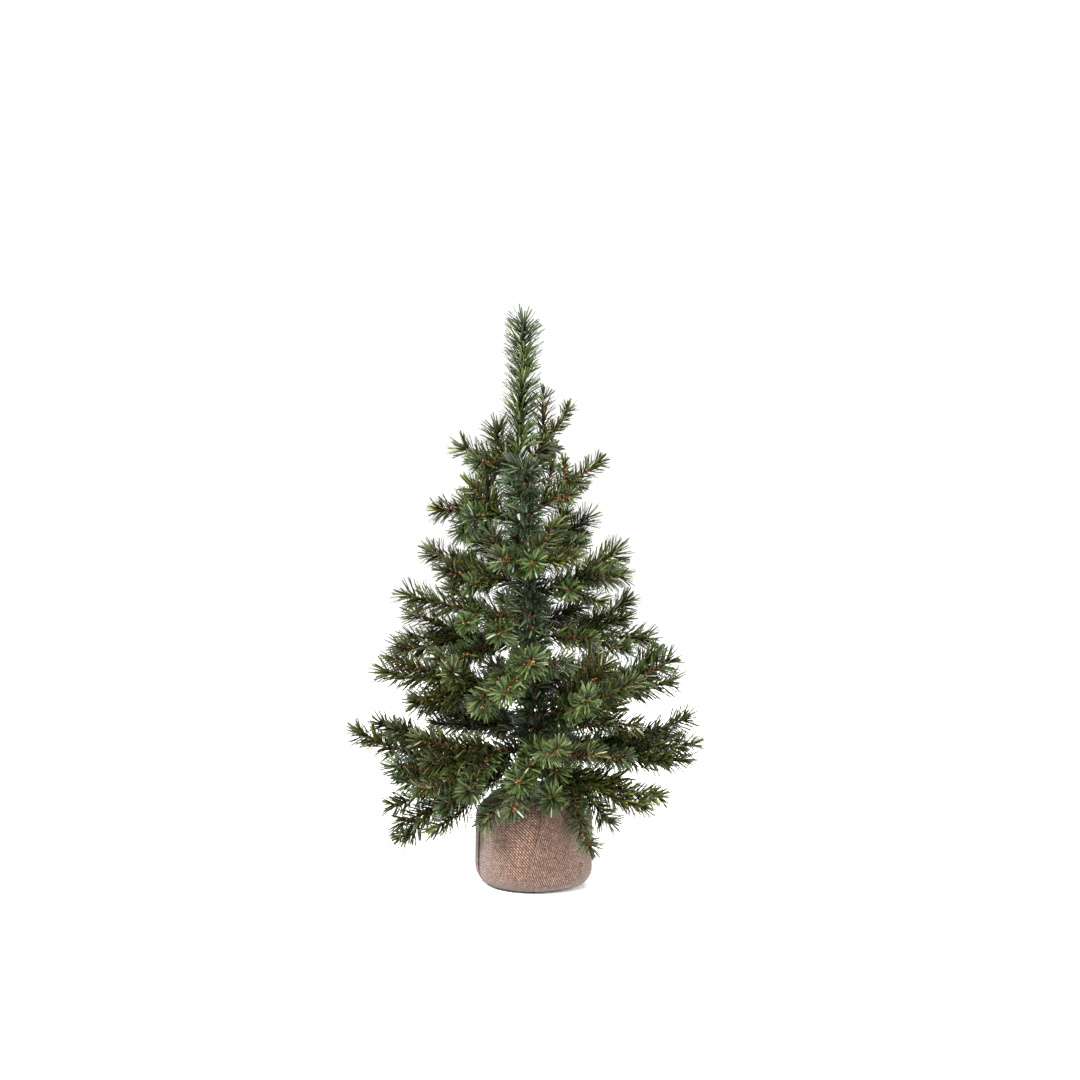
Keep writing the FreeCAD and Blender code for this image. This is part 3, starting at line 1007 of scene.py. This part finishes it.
class Sack:
    """The cloth as a grid: rows follow the outline upwards, columns go round the sack."""

    def __init__(self):
        outline = smoothed(SACK_OUTLINE)
        steps = np.linalg.norm(np.diff(outline, axis=0), axis=1)
        places = np.concatenate([[0], np.cumsum(steps)])
        self.rows = np.arange(0, places[-1], GRID_STEP)
        self.radius = np.interp(self.rows, places, outline[:, 0])
        self.height = np.interp(self.rows, places, outline[:, 1])
        slope = unit(np.stack([np.gradient(self.radius), np.gradient(self.height)], axis=1))
        self.normal_out, self.normal_up = slope[:, 1], -slope[:, 0]
        self.above_underside = (self.height > UNDERSIDE_TOP)[:, None]
        self.columns = cloth_columns()

    def _pleat_share(self):
        """How much of a pleat shows in each row: none at the underside and at the neck."""
        heights = self.height[:, None]
        share = smoothstep(heights, *PLEAT_RISE) * (1 - smoothstep(heights, *PLEAT_FADE))
        share[:np.argmax(self.above_underside)] = 0
        return share

    def surface(self):
        """Angle and outward offset of every grid point, with the pleats laid."""
        rest = np.array([column.angle for column in self.columns])[None, :]
        angle = np.repeat(rest, len(self.rows), axis=0)
        offset = np.zeros_like(angle)
        share = self._pleat_share()
        rise = smoothstep(self.height[:, None], *PLEAT_SLANT_RUN)
        depth_share = FLAT_FOLD_DEPTH + (1 - FLAT_FOLD_DEPTH) * share[:, 0]
        lift_share = FLAT_FOLD_LIFT + (1 - FLAT_FOLD_LIFT) * share[:, 0]
        for number, pleat in enumerate(PLEATS):
            away = wrapped(rest - math.radians(pleat.foot), FULL_TURN)
            slant = math.radians(pleat.shoulder - pleat.foot) * rise
            angle += slant * np.exp(-(away / PLEAT_SLANT_REACH) ** 2)
            own = np.array([column.pleat == number for column in self.columns])
            on_top = away * pleat.side >= 0
            lift = np.exp(-np.abs(away) * SACK_RADIUS / PLEAT_REACH)
            offset += 2 * PLEAT_LIFT * share * on_top * lift * ~own
            depth = pleat.depth * MM / SACK_RADIUS * pleat.side
            for index in np.flatnonzero(own):
                step = self.columns[index].step
                angle[:, index] += FOLD_SHIFTS[step] * depth * depth_share
                offset[:, index] += FOLD_LIFTS[step] * PLEAT_LIFT * lift_share
        return angle, offset

    def creases(self, angle):
        """Outward offset of the pressed creases."""
        heights = self.height[:, None]
        round_place = angle * SACK_RADIUS
        offset = np.zeros_like(angle)
        for (start_angle, start_height), (end_angle, end_height), depth in CREASES:
            start = np.array([math.radians(start_angle % 360) * SACK_RADIUS, start_height * MM])
            end = np.array([math.radians(end_angle % 360) * SACK_RADIUS, end_height * MM])
            along = unit(end - start)
            length = np.linalg.norm(end - start)
            across_sack = wrapped(round_place - start[0], SACK_ROUND)
            up_sack = heights - start[1]
            reach = across_sack * along[0] + up_sack * along[1]
            side = -across_sack * along[1] + up_sack * along[0]
            fade_in = smoothstep(reach, 0, CREASE_END_SHARE * length)
            fade_out = 1 - smoothstep(reach, (1 - CREASE_END_SHARE) * length, length)
            valley = -np.exp(-(side / CREASE_WIDTH) ** 2)
            from_ridge = (side - RIDGE_PLACE * CREASE_WIDTH) / (RIDGE_WIDTH * CREASE_WIDTH)
            ridge = RIDGE_HEIGHT * np.exp(-from_ridge ** 2)
            offset += depth * MM * fade_in * fade_out * (valley + ridge) * self.above_underside
        return offset

    def gathers(self, angle):
        """Outward offset of the gathers that run down from the tie."""
        wobble = GATHER_WOBBLE * np.sin(GATHER_WOBBLE_WAVES * angle)
        wave = sum(size * np.cos(waves * angle + GATHER_PHASE * waves + wobble)
                   for waves, size in GATHERS)
        shoulder = np.clip(1 - self.radius / SACK_RADIUS, 0, 1) * (self.height > SHOULDER_FROM)
        reach = GATHER_ON_WALL * smoothstep(self.height, *GATHER_RUN)
        reach = reach + GATHER_ON_SHOULDER * shoulder * (1 - GATHER_PRESSED * shoulder)
        return wave * reach[:, None] * MM

    def fullness(self, angle):
        """Outward offset of the cloth's uneven fullness on the wall."""
        heights = self.height[:, None]
        wave = sum(size * np.sin(waves * angle + slant * heights + phase)
                   for waves, slant, phase, size in FULLNESS)
        return wave * smoothstep(heights, *FULLNESS_RUN) * MM

    def _cloth_places(self):
        """Distance round the sack along the cloth, folds included."""
        folded = 0.0
        places = []
        for before, column in zip([self.columns[-1]] + self.columns[:-1], self.columns):
            if column.pleat is not None and before.pleat == column.pleat:
                depth = PLEATS[column.pleat].depth * MM
                folded += abs(FOLD_SHIFTS[column.step] - FOLD_SHIFTS[before.step]) * depth
            places.append(column.angle * SACK_RADIUS + folded)
        return np.array(places)

    def _weave_turns(self):
        """Weave angle of every column. A new panel begins inside each fold, out of sight."""
        weave = max(PLEATS, key=lambda pleat: pleat.foot % 360).weave
        folded_columns = 0
        turns = []
        for column in self.columns:
            folded_columns = 0 if column.pleat is None else folded_columns + 1
            if folded_columns == HIDDEN_FOLD_STEP:
                weave = PLEATS[column.pleat].weave
            turns.append(math.radians(weave))
        return np.array(turns)

    def threads(self):
        """Warp and weft coordinates, in threads, turned to each panel's weave angle."""
        turn = self._weave_turns()
        around = self._cloth_places()[None, :]
        upward = self.rows[:, None]
        warp = (around * np.cos(turn) + upward * np.sin(turn)) * THREADS_PER_METRE
        weft = (-around * np.sin(turn) + upward * np.cos(turn)) * THREADS_PER_METRE
        return warp, weft


def make_sack(materials):
    sack = Sack()
    angle, offset = sack.surface()
    offset += sack.creases(angle) + sack.gathers(angle) + sack.fullness(angle)
    radius = sack.radius[:, None] + sack.normal_out[:, None] * offset
    height = sack.height[:, None] + sack.normal_up[:, None] * offset
    height = np.maximum(height, CLEAR_OF_FLOOR)
    points = np.stack([radius * np.sin(angle), -radius * np.cos(angle), height], axis=-1)
    warp, weft = sack.threads()
    piece = mesh_object("burlap_sack", points.reshape(-1, 3), ring_faces(*angle.shape),
                        [materials["burlap"]], {"warp": warp.ravel(), "weft": weft.ravel()}, smooth=True)
    layer = piece.modifiers.new("cloth_thickness", "SOLIDIFY")
    layer.thickness = CLOTH_THICKNESS
    layer.offset = -1.0
    finish_piece(piece, "tree_base", "burlap", "burlap_wrap")


# -------------------------------------------------- neck tie

TIE_RADIUS = 13.9 * MM
TIE_TURNS = 2
TIE_POINTS_A_TURN = 150
TIE_PLY_RADIUS = 0.62 * MM
TIE_PLY_SHIFT = TIE_PLY_RADIUS * 0.8
TIE_PLY_TWIST = 3.4 * MM
TIE_PLY_STEP = 0.5 * MM

# The knot is a closed loop, given by its half width, half height, how far its middle is in front
# of the neck string, and half depth.
KNOT_POINTS = 60
KNOT_WIDTH = 2.2 * MM
KNOT_HEIGHT = 2.0 * MM
KNOT_FORWARD = 1.9 * MM
KNOT_DEPTH = 0.9 * MM


def knot_line(height):
    """The line of the small knot in front of the neck."""
    t = np.linspace(0, FULL_TURN, KNOT_POINTS)
    forward = TIE_RADIUS + KNOT_FORWARD + KNOT_DEPTH * np.cos(3 * t)
    return np.stack([KNOT_WIDTH * np.sin(2 * t), -forward, height + KNOT_HEIGHT * np.cos(t)], axis=1)


def make_tie(materials):
    """Two-ply jute string wound twice round the neck, with a small knot in front."""
    low, high = (np.array(corner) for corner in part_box("neck_tie"))
    start_height, end_height = low[2] + MM, high[2] - MM
    turns = np.linspace(0, FULL_TURN * TIE_TURNS, TIE_POINTS_A_TURN * TIE_TURNS)
    climb = start_height + (end_height - start_height) * turns / turns[-1]
    round_neck = np.stack([TIE_RADIUS * np.sin(turns), -TIE_RADIUS * np.cos(turns), climb], axis=1)
    string = Bundle()
    for line in (round_neck, knot_line((start_height + end_height) / 2)):
        path = Path(line)
        places = np.linspace(0, path.length, int(path.length / TIE_PLY_STEP))
        points, _, normals, sides = path.at(places)
        ply = spokes(FULL_TURN * places / TIE_PLY_TWIST, normals, sides)
        for sign in (1, -1):
            vertices, faces = tube(points + sign * ply * TIE_PLY_SHIFT, TIE_PLY_RADIUS)
            string.add(vertices, faces)
    piece = string.build("jute_neck_tie", [materials["jute"]], smooth=True)
    finish_piece(piece, "tree_base", "jute_string", "neck_tie")


# -------------------------------------------------- camera, light and floor

CAMERA_PLACE = (0.0057, -1.8, 0.43)
CAMERA_PITCH = 2.19
LENS = 57.5
SENSOR = 36.0
LIGHT_TARGET = (0.0, 0.0, 0.3)
WORLD_STRENGTH = 1.06
FLOOR_SIZE = 12.0
FLOOR_COLOUR = (0.985, 0.985, 0.985)

# Lamps, each as name, place, size and power.
LAMPS = [
    ("key", (-1.0, -1.7, 1.6), 0.6, 150),
    ("fill", (1.5, -1.3, 0.9), 1.0, 38),
    ("back", (0.6, 1.6, 1.4), 1.0, 40),
]


def make_camera():
    camera = bpy.data.cameras.new("camera")
    camera.lens = LENS
    camera.sensor_width = SENSOR
    holder = bpy.data.objects.new("camera", camera)
    holder.location = CAMERA_PLACE
    holder.rotation_euler = (math.radians(90 - CAMERA_PITCH), 0, 0)
    bpy.context.scene.collection.objects.link(holder)
    bpy.context.scene.camera = holder


def make_lamp(name, place, size, power):
    light = bpy.data.lights.new(name, "AREA")
    light.shape = "DISK"
    light.size = size
    light.energy = power
    holder = bpy.data.objects.new(name, light)
    holder.location = place
    holder.rotation_euler = (Vector(LIGHT_TARGET) - Vector(place)).to_track_quat("-Z", "Y").to_euler()
    bpy.context.scene.collection.objects.link(holder)


def make_light():
    world = bpy.data.worlds.new("studio")
    world.use_nodes = True
    background = world.node_tree.nodes["Background"]
    background.inputs["Color"].default_value = (*WHITE, 1.0)
    background.inputs["Strength"].default_value = WORLD_STRENGTH
    bpy.context.scene.world = world
    for lamp in LAMPS:
        make_lamp(*lamp)


def make_floor():
    size = FLOOR_SIZE
    corners = [(-size, -size, 0), (size, -size, 0), (size, size, 0), (-size, size, 0)]
    material, _, _, shader = new_material("pale_floor")
    shader.inputs["Base Color"].default_value = (*FLOOR_COLOUR, 1.0)
    shader.inputs["Roughness"].default_value = 0.9
    shader.inputs["Specular IOR Level"].default_value = 0.1
    floor = mesh_object("floor", corners, [(0, 1, 2, 3)], [material])


def main():
    bpy.context.scene.view_settings.view_transform = "Standard"
    materials = make_materials()
    finish_cad_nodes()
    for body in frame["bodies"]:
        if body.startswith("branch_"):
            make_branch(body, materials)
    make_leader(materials)
    make_trunk(materials)
    make_sack(materials)
    make_tie(materials)
    make_camera()
    make_light()
    make_floor()


main()
